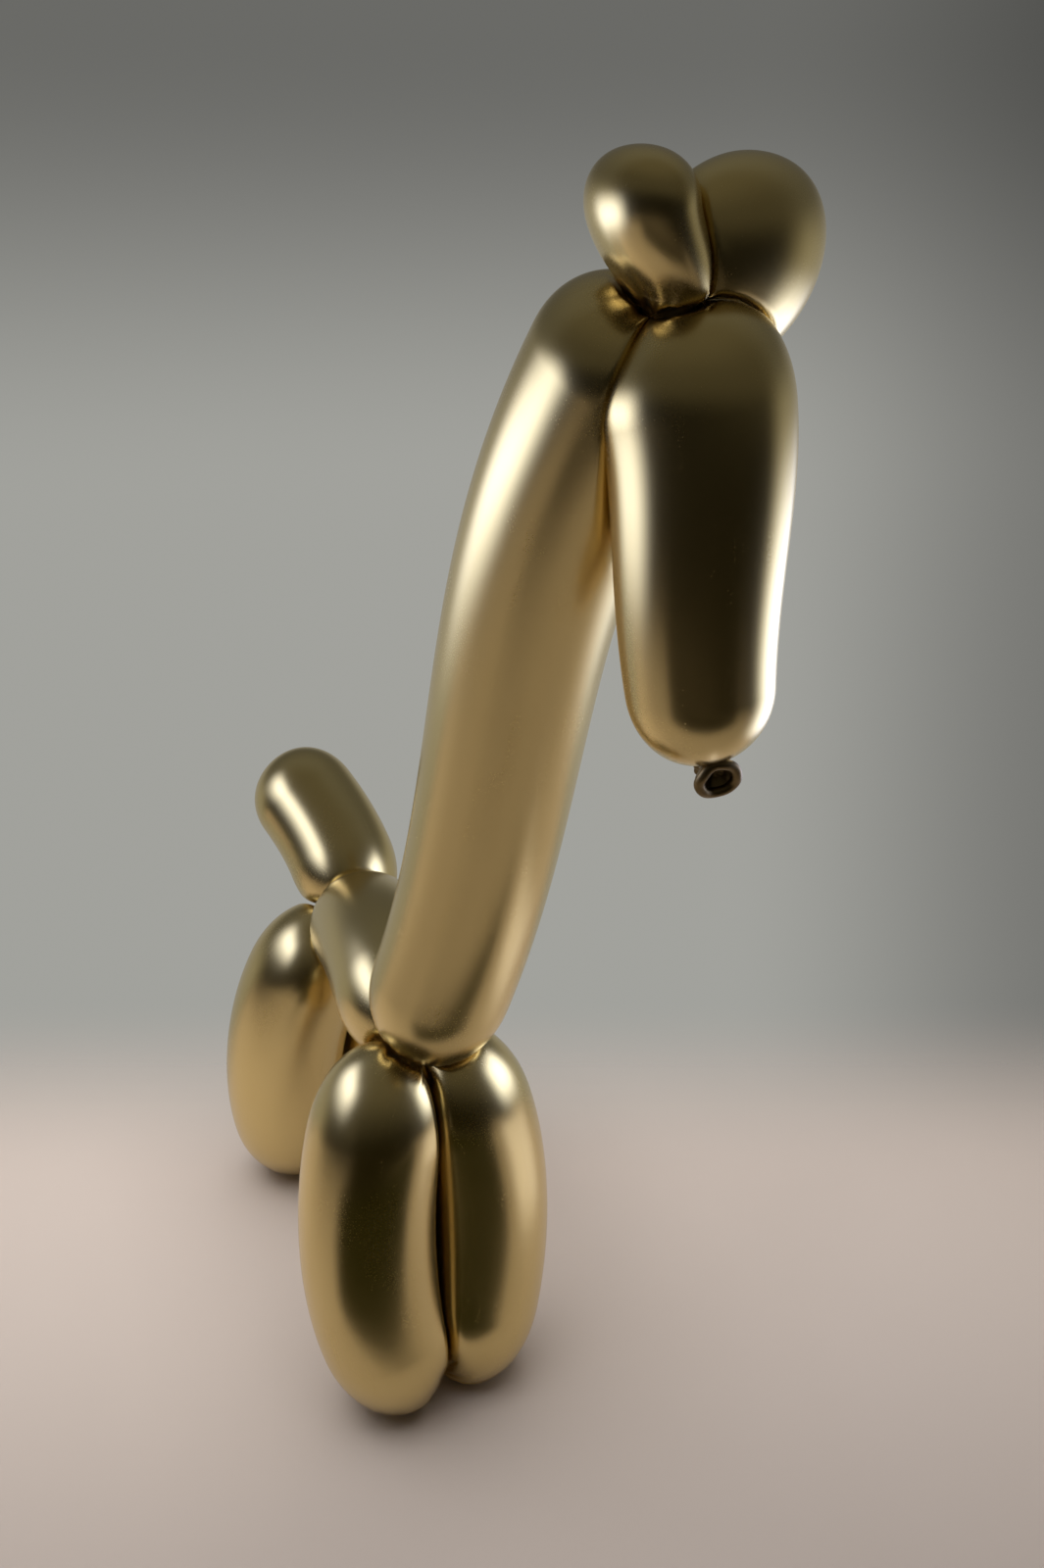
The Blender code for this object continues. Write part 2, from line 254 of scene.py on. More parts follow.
    def press_against(self, others: list["Bubble"], spare: float) -> np.ndarray:
        """Find how far the skin gives way to its neighbours.

        Two facing skins share the depth to which they overlap by their yielding, half each where that is
        the same, and the step at the edge of the contact is rounded over the lip.

        Args:
            others: The bubbles that may touch this one.
            spare: A thin gap kept between two skins.

        Returns:
            The pressed points.
        """
        directions, room = self.inward()
        give = np.zeros(self.points.shape[:2])
        low, high = self.points.min((0, 1)), self.points.max((0, 1))
        for other in others:
            lip = min(self.lip, other.lip)
            reach = max(other.diameters) / 2 * max(1.0, other.oval) + lip
            if (other.line.min(0) - reach > high).any() or (other.line.max(0) + reach < low).any():
                continue
            gap, outward = other.gap(self.points)
            facing = (directions * outward).sum(-1)
            share = 2 * self.yielding / (self.yielding + other.yielding)
            depth = soft_floor(spare - gap / np.maximum(1 + facing, self.LEAST_FACING), lip)
            give = np.maximum(give, share * depth)
        give = np.minimum(give, self.MOST_GIVE * room)
        return self.points + directions * give[..., None]

    def pleat(self, count: int, depth: float, reach: float) -> None:
        """Gather the skin into pleats round each twist.

        Every pleat is a valley: its depth falls off as a bell curve of the angle from its own line and
        of the distance from the twist. Their lines, widths and reaches differ, from a fixed seed.

        Args:
            count: Pleats round a twist.
            depth: Depth of a middling pleat.
            reach: How far from the twist it falls off.
        """
        chance = np.random.default_rng(self.seed)
        directions, room = self.inward()
        sink = np.zeros(self.points.shape[:2])
        for pleated, twist in zip(self.pleated, (self.line[0], self.line[-1])):
            lines = (np.arange(count) + chance.uniform(-0.32, 0.32, count)) * 2 * np.pi / count
            widths = chance.uniform(0.10, 0.2, count)
            reaches = reach * chance.uniform(0.6, 1.25, count)
            depths = depth * chance.uniform(0.5, 1.2, count)
            if not pleated:
                continue
            away = np.linalg.norm(self.points - twist, axis=-1)[..., None]
            swing = np.angle(np.exp(1j * (self.turn[:, None] - lines)))
            valleys = depths * np.exp(-(swing / widths) ** 2)[None] * np.exp(-(away / reaches) ** 2)
            sink += (valleys * (1 - np.exp(-(away / self.CALM_REACH) ** 2))).sum(-1)
        self.points = self.points + directions * np.minimum(sink, self.MOST_PLEAT * room)[..., None]

    def gathering(self) -> np.ndarray:
        """How thick the rubber is at each point: one at a twist, falling to nothing along a bell curve."""
        away = [
            np.linalg.norm(self.points - twist, axis=-1)
            for twist, pleated in zip((self.line[0], self.line[-1]), self.pleated) if pleated
        ]
        nearest = np.minimum.reduce(away) if away else np.full(self.points.shape[:2], 1.0)
        return np.exp(-(nearest / self.THICK_REACH) ** 2)

    def unrolled(self) -> np.ndarray:
        """Coordinates on the rubber itself: round the bubble as a circle, then along its length."""
        size = sum(self.diameters) / 4
        turn, places = np.meshgrid(self.turn, self.places)
        return np.stack([size * np.cos(turn), size * np.sin(turn), places], axis=-1)


def skin_object(
    name: str, rings: np.ndarray, start: np.ndarray, finish: np.ndarray,
    gathering: np.ndarray, unrolled: np.ndarray,
) -> bpy.types.Object:
    """A closed mesh from rings of points and a point at each end, with the rubber's own coordinates.

    Args:
        name: The piece's name.
        rings: Points as an array of rings by sides by three.
        start: The point that closes the first ring.
        finish: The point that closes the last ring.
        gathering: Thickness of the gathered rubber, one number for each point.
        unrolled: Place on the rubber, three numbers for each point.

    Returns:
        The object, at the origin, with its place in its mesh.
    """
    rows, sides = rings.shape[:2]
    points = np.concatenate([rings.reshape(-1, 3), [start, finish]])
    row, side = np.meshgrid(np.arange(rows - 1), np.arange(sides), indexing="ij")
    here, beside = row * sides + side, row * sides + (side + 1) % sides
    quads = np.stack([here, beside, beside + sides, here + sides], axis=-1).reshape(-1, 4)
    ring = np.arange(sides)
    next_side = (ring + 1) % sides
    last = (rows - 1) * sides
    first_fan = np.stack([np.full(sides, rows * sides), next_side, ring], axis=-1)
    last_fan = np.stack([np.full(sides, rows * sides + 1), last + ring, last + next_side], axis=-1)
    corners = np.concatenate([quads.ravel(), first_fan.ravel(), last_fan.ravel()])
    starts = np.concatenate([np.arange(len(quads)) * 4, len(quads) * 4 + np.arange(2 * sides) * 3])
    mesh = bpy.data.meshes.new(name)
    mesh.vertices.add(len(points))
    mesh.vertices.foreach_set("co", points.astype(np.float32).ravel())
    mesh.loops.add(len(corners))
    mesh.loops.foreach_set("vertex_index", corners.astype(np.int32))
    mesh.polygons.add(len(starts))
    mesh.polygons.foreach_set("loop_start", starts.astype(np.int32))
    mesh.update(calc_edges=True)
    mesh.shade_smooth()
    ends = unrolled.reshape(-1, 3)[[0, -1]]
    for label, kind, values in (
        ("gathering", "FLOAT", np.concatenate([gathering.ravel(), gathering.ravel()[[0, -1]]])),
        ("rubber", "FLOAT_VECTOR", np.concatenate([unrolled.reshape(-1, 3), ends]).ravel()),
    ):
        layer = mesh.attributes.new(label, kind, "POINT")
        layer.data.foreach_set("value" if kind == "FLOAT" else "vector", values.astype(np.float32))
    item = bpy.data.objects.new(name, mesh)
    bpy.context.scene.collection.objects.link(item)
    return item


# Shader building

@dataclass(frozen=True)
class Value:
    """A shader socket that takes part in arithmetic: each operation adds its Math node."""

    graph: "Graph"
    socket: bpy.types.NodeSocket

    def __add__(self, other: "Value | float") -> "Value":
        """This plus the other."""
        return self.graph.maths("ADD", self, other)

    def __sub__(self, other: "Value | float") -> "Value":
        """This less the other."""
        return self.graph.maths("SUBTRACT", self, other)

    def __rsub__(self, other: float) -> "Value":
        """The other less this."""
        return self.graph.maths("SUBTRACT", other, self)

    def __mul__(self, other: "Value | float") -> "Value":
        """This times the other."""
        return self.graph.maths("MULTIPLY", self, other)

    __radd__ = __add__
    __rmul__ = __mul__


@dataclass
class Graph:
    """A node tree that is written as expressions."""

    tree: bpy.types.NodeTree

    def node(self, kind: str, settings: dict | None = None, inputs: dict | None = None, output: int = 0) -> Value:
        """Add a node.

        Args:
            kind: The node's type.
            settings: Its own settings, set before its sockets.
            inputs: Values or links of its sockets, by name or number.
            output: Which of its outputs is returned.

        Returns:
            The chosen output.
        """
        made = self.tree.nodes.new(kind)
        for name, setting in (settings or {}).items():
            setattr(made, name, setting)
        for name, value in (inputs or {}).items():
            if isinstance(value, Value):
                self.tree.links.new(value.socket, made.inputs[name])
            else:
                made.inputs[name].default_value = value
        return Value(self, made.outputs[output])

    def maths(self, operation: str, first: "Value | float", second: "Value | float" = 0.0) -> Value:
        """One Math node on two values."""
        return self.node("ShaderNodeMath", {"operation": operation}, {0: first, 1: second})

    def smooth(self, value: Value, low: float, high: float) -> Value:
        """Nothing below low and one above high, with a smooth step between."""
        return self.node(
            "ShaderNodeMapRange", {"interpolation_type": "SMOOTHSTEP"},
            {"Value": value, "From Min": low, "From Max": high},
        )

    def mix(self, share: "Value | float", first: "Value | tuple", second: "Value | tuple") -> Value:
        """A colour between two colours."""
        return self.node("ShaderNodeMix", {"data_type": "RGBA"}, {0: share, 6: first, 7: second}, 2)

    def dot(self, vector: Value, direction: Triple) -> Value:
        """How far a vector points along a direction."""
        return self.node("ShaderNodeVectorMath", {"operation": "DOT_PRODUCT"}, {0: vector, 1: direction}, 1)

    def noise(self, vector: Value, scale: float, detail: float = 2.0, roughness: float = 0.5) -> Value:
        """Soft random blotches from nothing to one, so many to the metre."""
        return self.node(
            "ShaderNodeTexNoise", {}, {"Vector": vector, "Scale": scale, "Detail": detail, "Roughness": roughness}
        )


def new_material(name: str) -> tuple[bpy.types.Material, Graph, bpy.types.ShaderNode]:
    """A material with a lone Principled shader, its graph and that shader."""
    material = bpy.data.materials.new(name)
    material.use_nodes = True
    return material, Graph(material.node_tree), material.node_tree.nodes["Principled BSDF"]


@dataclass(frozen=True)
class MetallicLatex:
    """Balloon rubber filled with metal flake: a satin mirror that is deeper in colour where it is thick.

    Args:
        name: The material's name.
        stretched: Colour where the rubber is blown up thin.
        gathered: Colour where it is thick, at a twist or at the tied mouth.
        roughness: Roughness of the stretched rubber.
        thick_roughness: Roughness of the thick rubber.
    """

    name: str = "gold_rubber"
    stretched: Colour = (0.67, 0.53, 0.24, 1.0)
    gathered: Colour = (0.58, 0.40, 0.12, 1.0)
    roughness: float = 0.26
    thick_roughness: float = 0.31

    def build(self) -> bpy.types.Material:
        """Make the material.

        The colour runs from stretched to gathered by the rubber's thickness, and varies a little in
        blotches and in faint streaks along the bubble. Fine flakes vary the roughness and the relief.
        """
        material, graph, shader = new_material(self.name)
        place = graph.node("ShaderNodeTexCoord", output=3)
        rubber = graph.node("ShaderNodeAttribute", {"attribute_name": "rubber"}, output=1)
        gathering = graph.node("ShaderNodeAttribute", {"attribute_name": "gathering"}, output=2)
        lengthwise = graph.node(
            "ShaderNodeVectorMath", {"operation": "MULTIPLY"}, {0: rubber, 1: (1.0, 1.0, 0.07)}
        )
        streaks = graph.noise(lengthwise, 260.0, 3.0, 0.6)
        blotches = graph.noise(place, 38.0, 2.0)
        flakes = graph.noise(place, 2600.0, 2.0, 0.6)
        thickness = gathering * 0.85 + (streaks - 0.5) * 0.35 + (blotches - 0.5) * 0.35
        clamped = graph.node("ShaderNodeClamp", {}, {"Value": thickness})
        colour = graph.mix(clamped, self.stretched, self.gathered)
        grain = 0.965 + flakes * 0.07
        colour = graph.node(
            "ShaderNodeMix", {"data_type": "RGBA", "blend_type": "MULTIPLY"},
            {0: 1.0, 6: colour, 7: graph.node("ShaderNodeCombineColor", {}, {0: grain, 1: grain, 2: grain})}, 2,
        )
        roughness = self.roughness + (self.thick_roughness - self.roughness) * gathering
        roughness = roughness + (flakes - 0.5) * 0.05 + (blotches - 0.5) * 0.04 + (streaks - 0.5) * 0.03
        waves = graph.noise(place, 30.0, 1.0)
        relief = flakes * 0.012 + streaks * 0.03 + waves * 0.6
        normal = graph.node("ShaderNodeBump", {}, {"Strength": 0.35, "Distance": 0.4 * MM, "Height": relief})
        shader.inputs["Metallic"].default_value = 1.0
        for name, value in (("Base Color", colour), ("Roughness", roughness), ("Normal", normal)):
            graph.tree.links.new(value.socket, shader.inputs[name])
        return material


# The figure

@dataclass
class LegPair:
    """Two folded legs that hang from one twist and press together.

    Each leg runs out and down from the twist, down to its foot, and in to the fold between the feet.
    Lengths are millimetres.

    Args:
        name: The pair's name.
        twist: Where both legs hang from.
        diameter: Thickness of a leg.
        spread_top: How far the upper guide is to either side.
        spread_foot: How far the lower guide is to either side.
        ahead_top: How far the upper guide is towards the head.
        ahead_foot: How far the lower guide is towards the head.
        fold_ahead: How far the fold is towards the head.
        fold_spread: How far a leg's end is to either side of the fold.
        lean_top: How far the upper guides are to the left.
        lean_foot: How far the lower guides and the fold are to the left.
        turn: Turn of the pair about the twist, in radians.
        right_yielding: How much of an overlap the right leg takes, where the left one's number is 1.
        seed: Starts the random pleats.
    """

    name: str
    twist: Triple
    diameter: float
    spread_top: float
    spread_foot: float
    ahead_top: float
    ahead_foot: float
    fold_ahead: float
    fold_spread: float
    lean_top: float
    lean_foot: float
    turn: float = 0.0
    right_yielding: float = 1.0
    seed: int = 1

    LIP = 7.0
    BEND_DROP = 25.2
    BEND_HEIGHT = 23.2
    FOLD_HEIGHT = 8.6
    TWIST_GAP = 1.6

    def place(self, left: float, ahead: float, up: float) -> np.ndarray:
        """A point measured from under the twist and turned with the pair, in scene coordinates."""
        cosine, sine = np.cos(self.turn), np.sin(self.turn)
        return spot(
            self.twist[0] + left * cosine - ahead * sine, self.twist[1] + left * sine + ahead * cosine, up
        )

    def bubbles(self) -> list[Bubble]:
        """The right leg and the left one."""
        top = self.twist[2]
        made = []
        for side, word in ((-1, "right"), (1, "left")):
            path = np.array([
                self.place(side * self.TWIST_GAP, 0.0, top),
                self.place(side * self.spread_top + self.lean_top, self.ahead_top, top - self.BEND_DROP),
                self.place(side * self.spread_foot + self.lean_foot, self.ahead_foot, self.BEND_HEIGHT),
                self.place(side * self.fold_spread + self.lean_foot, self.fold_ahead, self.FOLD_HEIGHT),
            ])
            width = self.diameter * MM
            made.append(Bubble(
                f"{self.name}_{word}_leg", path, (width, width), stands_under=top * MM,
                yielding=1.0 if side > 0 else self.right_yielding, lip=self.LIP * MM,
                seed=self.seed * 2 + (side > 0),
            ))
        return made


@dataclass
class Trunk:
    """The back between the two twists, the tail behind it and the neck in front, in millimetres.

    Args:
        shoulder: The twist above the front legs.
        hip: The twist above the hind legs.
        crown: The twist at the top of the neck.
        back_diameter: Thickness of the back.
        tail_diameter: Thickness of the tail.
        neck_diameter: Thickness of the neck.
        back_arch: How far the back's middle is off the straight line.
        tail_tip: The tail's tip, from the hip.
        tail_sway: How far the tail's middle is off the straight line.
        neck_rise: The neck's lower guide, from the shoulder.
        neck_crest: The neck's upper guide, from the crown.
        neck_end: The neck's top, from the crown.
        neck_yielding: How much of an overlap the neck takes.
    """

    shoulder: Triple = (0.0, 0.0, 134.2)
    hip: Triple = (18.7, -102.1, 130.9)
    crown: Triple = (25.1, 93.5, 372.2)
    back_diameter: float = 45.4
    tail_diameter: float = 44.0
    neck_diameter: float = 47.4
    back_arch: Triple = (0.9, 0.0, 12.0)
    tail_tip: Triple = (-10.2, -59.6, 52.4)
    tail_sway: Triple = (7.0, 5.1, -1.0)
    neck_rise: Triple = (32.3, 27.9, 96.4)
    neck_crest: Triple = (-17.7, -55.7, -67.4)
    neck_end: Triple = (3.4, 0.1, 4.2)
    neck_yielding: float = 1.6

    @staticmethod
    def bowed(start: np.ndarray, finish: np.ndarray, bow: np.ndarray) -> np.ndarray:
        """A path whose middle is moved off the straight line by bow: both guides are moved 4/3 of it."""
        pull = bow * 4 / 3
        return np.array([start, start + (finish - start) / 3 + pull, start + (finish - start) * 2 / 3 + pull, finish])

    def bubbles(self) -> list[Bubble]:
        """The back, the tail and the neck."""
        shoulder, hip, crown = spot(*self.shoulder), spot(*self.hip), spot(*self.crown)
        back, tail, neck = (width * MM for width in (self.back_diameter, self.tail_diameter, self.neck_diameter))
        neck_path = np.array([
            shoulder, shoulder + spot(*self.neck_rise), crown + spot(*self.neck_crest),
            crown + spot(*self.neck_end),
        ])
        return [
            Bubble("back", self.bowed(shoulder, hip, spot(*self.back_arch)), (back, back), seed=11),
            Bubble(
                "tail", self.bowed(hip, hip + spot(*self.tail_tip), spot(*self.tail_sway)), (tail, tail),
                (End.TWISTED, End.FREE), pleated=(True, False), seed=12,
            ),
            Bubble(
                "neck", neck_path, (neck, neck), (End.TWISTED, End.SNUG),
                yielding=self.neck_yielding, seed=13, rows=380,
            ),
        ]


@dataclass
class Head:
    """The muzzle, the two ears and the tied mouth of the balloon, measured from the crown twist in mm.

    Args:
        crown: The twist that all of them hang on.
        muzzle_diameters: The muzzle's thickness at the crown and at the mouth.
        muzzle: Its path.
        right_ear_diameters: The right ear's width at its foot and at its tip.
        right_ear: Its path.
        left_ear_diameters: The left ear's width at its foot and at its tip.
        left_ear: Its path.
        ear_thickness: Front-to-back thickness of both ears.
        yieldings: How much of an overlap the muzzle, the right ear and the left ear take.
        nozzle_facing: Which way the tied mouth faces.
        nozzle_reach: From the end of the muzzle to the mouth's lip.
        lip_radius: Outer radius of the rolled lip.
        roll_radius: Radius of the roll itself.
        stem_radius: Radius of the gathered stem.
        cup_depth: Depth of the cup inside the lip.
        cup_radius: Radius of the cup's floor.
        gathers: Gathers round the stem.
        gather_depth: Their depth, as a share of the radius.
        waver: Unevenness of the lip's radius, as a share of it.
        lift: Unevenness of the lip along its facing.
    """

    crown: Triple = (25.1, 93.5, 372.2)
    muzzle_diameters: Pair = (48.4, 34.4)
    muzzle: Path = ((0.9, 1.5, 2.6), (15.4, 12.9, -26.6), (2.2, 9.2, -51.7), (12.2, 13.1, -103.2))
    right_ear_diameters: Pair = (18.0, 25.4)
    right_ear: Path = ((0.4, 0.1, 0.8), (4.6, 4.7, 17.0), (-9.9, 5.1, 12.4), (-7.9, 4.2, 34.6))
    left_ear_diameters: Pair = (44.2, 48.7)
    left_ear: Path = ((-0.5, -1.5, 0.2), (9.9, 0.2, 4.8), (20.9, 5.8, 7.1), (26.0, 3.9, 34.1))
    ear_thickness: float = 31.0
    yieldings: Triple = (0.01, 0.005, 0.01)
    nozzle_facing: Triple = (-0.22, 0.90, -0.38)
    nozzle_reach: float = 7.4
    lip_radius: float = 6.2
    roll_radius: float = 1.4
    stem_radius: float = 3.3
    cup_depth: float = 2.2
    cup_radius: float = 2.15
    gathers: int = 9
    gather_depth: float = 0.09
    waver: float = 0.022
    lift: float = 0.16

    def path(self, points: Path) -> np.ndarray:
        """A path of four points measured from the crown twist."""
        return np.array([spot(*self.crown) + spot(*point) for point in points])

    def bubbles(self) -> list[Bubble]:
        """The muzzle and the right and left ears."""
        made = [Bubble(
            "muzzle", self.path(self.muzzle), tuple(width * MM for width in self.muzzle_diameters),
            (End.FREE, End.BLUNT), pleated=(True, False), yielding=self.yieldings[0], seed=21, rows=330,
        )]
        ears = (
            ("right_ear", self.right_ear, self.right_ear_diameters, self.yieldings[1], 22),
            ("left_ear", self.left_ear, self.left_ear_diameters, self.yieldings[2], 23),
        )
        for name, points, widths, yielding, seed in ears:
            made.append(Bubble(
                name, self.path(points), tuple(width * MM for width in widths), (End.SNUG, End.FREE),
                self.ear_thickness * MM, (True, False), yielding=yielding, seed=seed,
            ))
        return made

    def outline(self) -> np.ndarray:
        """The nozzle's outline from the knot to the bottom of the cup: (distance along, radius), in mm.

        A gathered stem with a small knot flares into a rolled lip, whose section is an arc, and the
        lip turns down into a shallow cup.
        """
        along = np.linspace(-self.nozzle_reach - 2.0, -1.9, 46)
        knot = 1.1 * np.exp(-((along + self.nozzle_reach - 1.4) / 1.0) ** 2)
        flare = (self.lip_radius - 0.9 - self.stem_radius) * np.clip((along + 4.6) / 2.7, 0.0, 1.0) ** 1.8
        stem = np.stack([along, self.stem_radius + knot + flare], axis=1)
        bend = np.radians(np.linspace(-100.0, 200.0, 64))
        middle = self.lip_radius - self.roll_radius
        roll = np.stack([self.roll_radius * np.sin(bend), middle + self.roll_radius * np.cos(bend)], axis=1)
        inside = np.linspace(0.0, 1.0, 22)[1:, None]
        cup = roll[-1] * (1 - inside) + np.array([-self.cup_depth, self.cup_radius]) * inside
        floor_share = np.linspace(0.0, 0.96, 12)[1:]
        floor = np.stack([
            -self.cup_depth - 0.5 * np.sin(floor_share * np.pi / 2), self.cup_radius * (1 - floor_share)
        ], axis=1)
        return np.concatenate([stem, roll, cup, floor])

    def nozzle(self) -> bpy.types.Object:
        """The tied mouth: its outline turned about the way it faces, with gathers and an uneven lip.

        The radius is the outline's times one plus gathers that fade towards the lip, plus a slow
        waver that the lip alone has.
        """
        facing = unit(spot(*self.nozzle_facing))
        across = unit(np.array([1.0, 0.0, 0.0]) - facing * facing[0])
        up = np.cross(facing, across)
        outline = self.outline()
        turn = np.linspace(0.0, 2 * np.pi, 160, endpoint=False)[None]
        along, radius = outline[:, :1], outline[:, 1:]
        stem = 1 - np.clip((along + self.nozzle_reach + 1.0) / (self.nozzle_reach - 0.5), 0.0, 1.0)
        gathers = self.gather_depth * stem * np.cos(self.gathers * turn + 2.2 * np.sin(turn) + 5 * stem)
        waver = self.waver * (1 - stem) * (np.cos(3 * turn + 0.6) + 0.6 * np.cos(5 * turn + 2.0))
        size = radius * (1 + gathers + waver)
        lift = (1 - stem) * (self.lift * np.sin(2 * turn + 1.0) + 0.10 * np.sin(5 * turn))
        centre = self.path(self.muzzle)[3] + self.nozzle_reach * MM * facing
        spokes = np.cos(turn)[..., None] * across + np.sin(turn)[..., None] * up
        rings = centre + (along + lift)[..., None] * MM * facing + size[..., None] * MM * spokes
        thickness = np.broadcast_to(1.0 - 0.25 * (1 - stem), size.shape)
        rubber = np.stack([
            4 * MM * np.cos(turn) + 0 * along, 4 * MM * np.sin(turn) + 0 * along, along * MM + 0 * turn
        ], axis=-1)
        middle = centre + (outline[-1, 0] - 0.02) * MM * facing
        start = centre + outline[0, 0] * MM * facing
        return skin_object("nozzle", rings, start, middle, thickness, rubber)


@dataclass
class Giraffe:
    """The whole figure: every bubble pressed, pleated, stood on the floor and fitted to the CAD box.

    Args:
        spare: Thin gap between two skins that touch.
        pleats: Pleats round each twist.
        pleat_depth: Depth of a middling pleat.
        pleat_reach: How far from the twist it falls off.
        foot_softness: Height over which a foot rounds off above the floor.
        rubber: Finish of the bubbles.
        tied_rubber: Finish of the tied mouth, where the rubber is thick and dull.
    """

    spare: float = 0.05 * MM
    pleats: int = 11
    pleat_depth: float = 1.3 * MM
    pleat_reach: float = 13.0 * MM
    foot_softness: float = 1.2 * MM
    rubber: MetallicLatex = MetallicLatex()
    tied_rubber: MetallicLatex = MetallicLatex(
        name="gold_rubber_thick", stretched=(0.30, 0.21, 0.09, 1.0), gathered=(0.10, 0.075, 0.035, 1.0),
        roughness=0.4, thick_roughness=0.42,
    )

    HAIR = 0.001 * MM

    def parts(self) -> list[Head | Trunk | LegPair]:
        """The sub-assemblies, from the head to the hind legs."""
        trunk = Trunk()
        return [
            Head(crown=trunk.crown), trunk,
            LegPair(
                "front", trunk.shoulder, diameter=49.0, spread_top=29.106, spread_foot=27.097,
                ahead_top=9.4, ahead_foot=10.8, fold_ahead=22.7, fold_spread=1.0,
                lean_top=0.0, lean_foot=-4.2, right_yielding=2.2, seed=31,
            ),
            LegPair(
                "hind", trunk.hip, diameter=49.8, spread_top=30.627, spread_foot=30.876,
                ahead_top=-21.9, ahead_foot=-20.5, fold_ahead=-33.5, fold_spread=4.7,
                lean_top=-2.9, lean_foot=-3.6, turn=np.radians(-9.4), seed=41,
            ),
        ]

    def build(self) -> list[bpy.types.Object]:
        """Build every piece and return them all."""
        parts = self.parts()
        bubbles = [bubble for part in parts for bubble in part.bubbles()]
        pressed = [
            bubble.press_against([other for other in bubbles if other is not bubble], self.spare)
            for bubble in bubbles
        ]
        for bubble, points in zip(bubbles, pressed):
            bubble.points = points
            bubble.pleat(self.pleats, self.pleat_depth, self.pleat_reach)
            bubble.points[..., 2] = soft_floor(bubble.points[..., 2], self.foot_softness)
        pieces = [
            skin_object(
                bubble.name, bubble.points, bubble.line[0], bubble.line[-1],
                bubble.gathering(), bubble.unrolled(),
            )
            for bubble in bubbles
        ]
        pieces.append(parts[0].nozzle())
        self.fit_to_frame(pieces)
        rubber, tied = self.rubber.build(), self.tied_rubber.build()
        for piece in pieces:
            piece.data.materials.append(tied if piece.name == "nozzle" else rubber)
            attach(piece, "root")
            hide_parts("balloon")
            LOG.info("%s: %d faces", piece.name, len(piece.data.polygons))
        return pieces

    def fit_to_frame(self, pieces: list[bpy.types.Object]) -> None:
        """Lay the pieces' common box a hair inside the CAD box, axis by axis: they differ by 2 per mille."""
        clouds = []
        for piece in pieces:
            flat = np.empty(len(piece.data.vertices) * 3, np.float32)
            piece.data.vertices.foreach_get("co", flat)
            clouds.append(flat.reshape(-1, 3).astype(float))
        low = np.min([cloud.min(0) for cloud in clouds], axis=0)
        high = np.max([cloud.max(0) for cloud in clouds], axis=0)
        scale = (CAD_HIGH - CAD_LOW - 2 * self.HAIR) / (high - low)
        LOG.info("own box %s mm, scale to the frame %s", np.round((high - low) / MM, 2), np.round(scale, 4))
        for piece, cloud in zip(pieces, clouds):
            fitted = (cloud - low) * scale + CAD_LOW + self.HAIR
            piece.data.vertices.foreach_set("co", fitted.astype(np.float32).ravel())
            piece.data.update()


# The studio

@dataclass(frozen=True)
class Card:
    """A sheet beside the figure that only its mirror sees: a bright panel, or a dark flag that paints shade into the
    reflections.

    Places are metres to the camera's right, away from the camera and up, from the figure's origin.

    Args:
        name: The sheet's name.
        middle: Where its middle is.
        width: Its level size.
        height: Its other size.
        facing: Which level way its bright side faces, as a direction to the right, away and up.
        colour: Colour and strength of its glow, which is almost nothing on a flag: there a faint warm painted light.
        soft: How much of the width and of the height its faded edges take up on each side.
    """

    name: str
    middle: Triple
    width: float
    height: float
    facing: Triple
    colour: Triple
    soft: Pair

    def build(self, axes: np.ndarray) -> None:
        """Make the sheet and its material.

        Args:
            axes: The camera's right, ahead and up as rows.
        """
        facing = unit(np.array(self.facing) @ axes)
        level = unit(np.cross([0.0, 0.0, 1.0], facing))
        rise = np.cross(facing, level)
        signs = np.array([[-1, -1], [1, -1], [1, 1], [-1, 1]])
        corners = np.array(self.middle) @ axes + signs / 2 @ np.array([level * self.width, rise * self.height])
        mesh = bpy.data.meshes.new(self.name)
        mesh.from_pydata(corners.tolist(), [], [(0, 1, 2, 3)])
        mesh.uv_layers.new(name="sheet").data.foreach_set("uv", ((signs + 1) / 2).astype(np.float32).ravel())
        item = bpy.data.objects.new(self.name, mesh)
        item.visible_camera = item.visible_diffuse = item.visible_shadow = item.visible_transmission = False
        bpy.context.scene.collection.objects.link(item)
        mesh.materials.append(self.material())
        item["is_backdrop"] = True
        LOG.info("%s", self.name)

    def material(self) -> bpy.types.Material:
        """A glow of one colour that fades out towards the edges."""
        material, graph, shader = new_material(self.name)
        sheet = graph.node("ShaderNodeUVMap", {"uv_map": "sheet"})
        edges = []
        for number, soft in enumerate(self.soft):
            place = graph.node("ShaderNodeSeparateXYZ", {}, {0: sheet}, number)
            inside = 0.5 - graph.maths("ABSOLUTE", place - 0.5)
            edges.append(graph.smooth(inside, 0.0, soft))
        graph.tree.links.new((edges[0] * edges[1]).socket, shader.inputs["Alpha"])
        strength = max(self.colour)
        shader.inputs["Base Color"].default_value = (0.0, 0.0, 0.0, 1.0)
        shader.inputs["Specular IOR Level"].default_value = 0.0
        shader.inputs["Emission Color"].default_value = tuple(part / strength for part in self.colour) + (1.0,)
        shader.inputs["Emission Strength"].default_value = strength
        return material


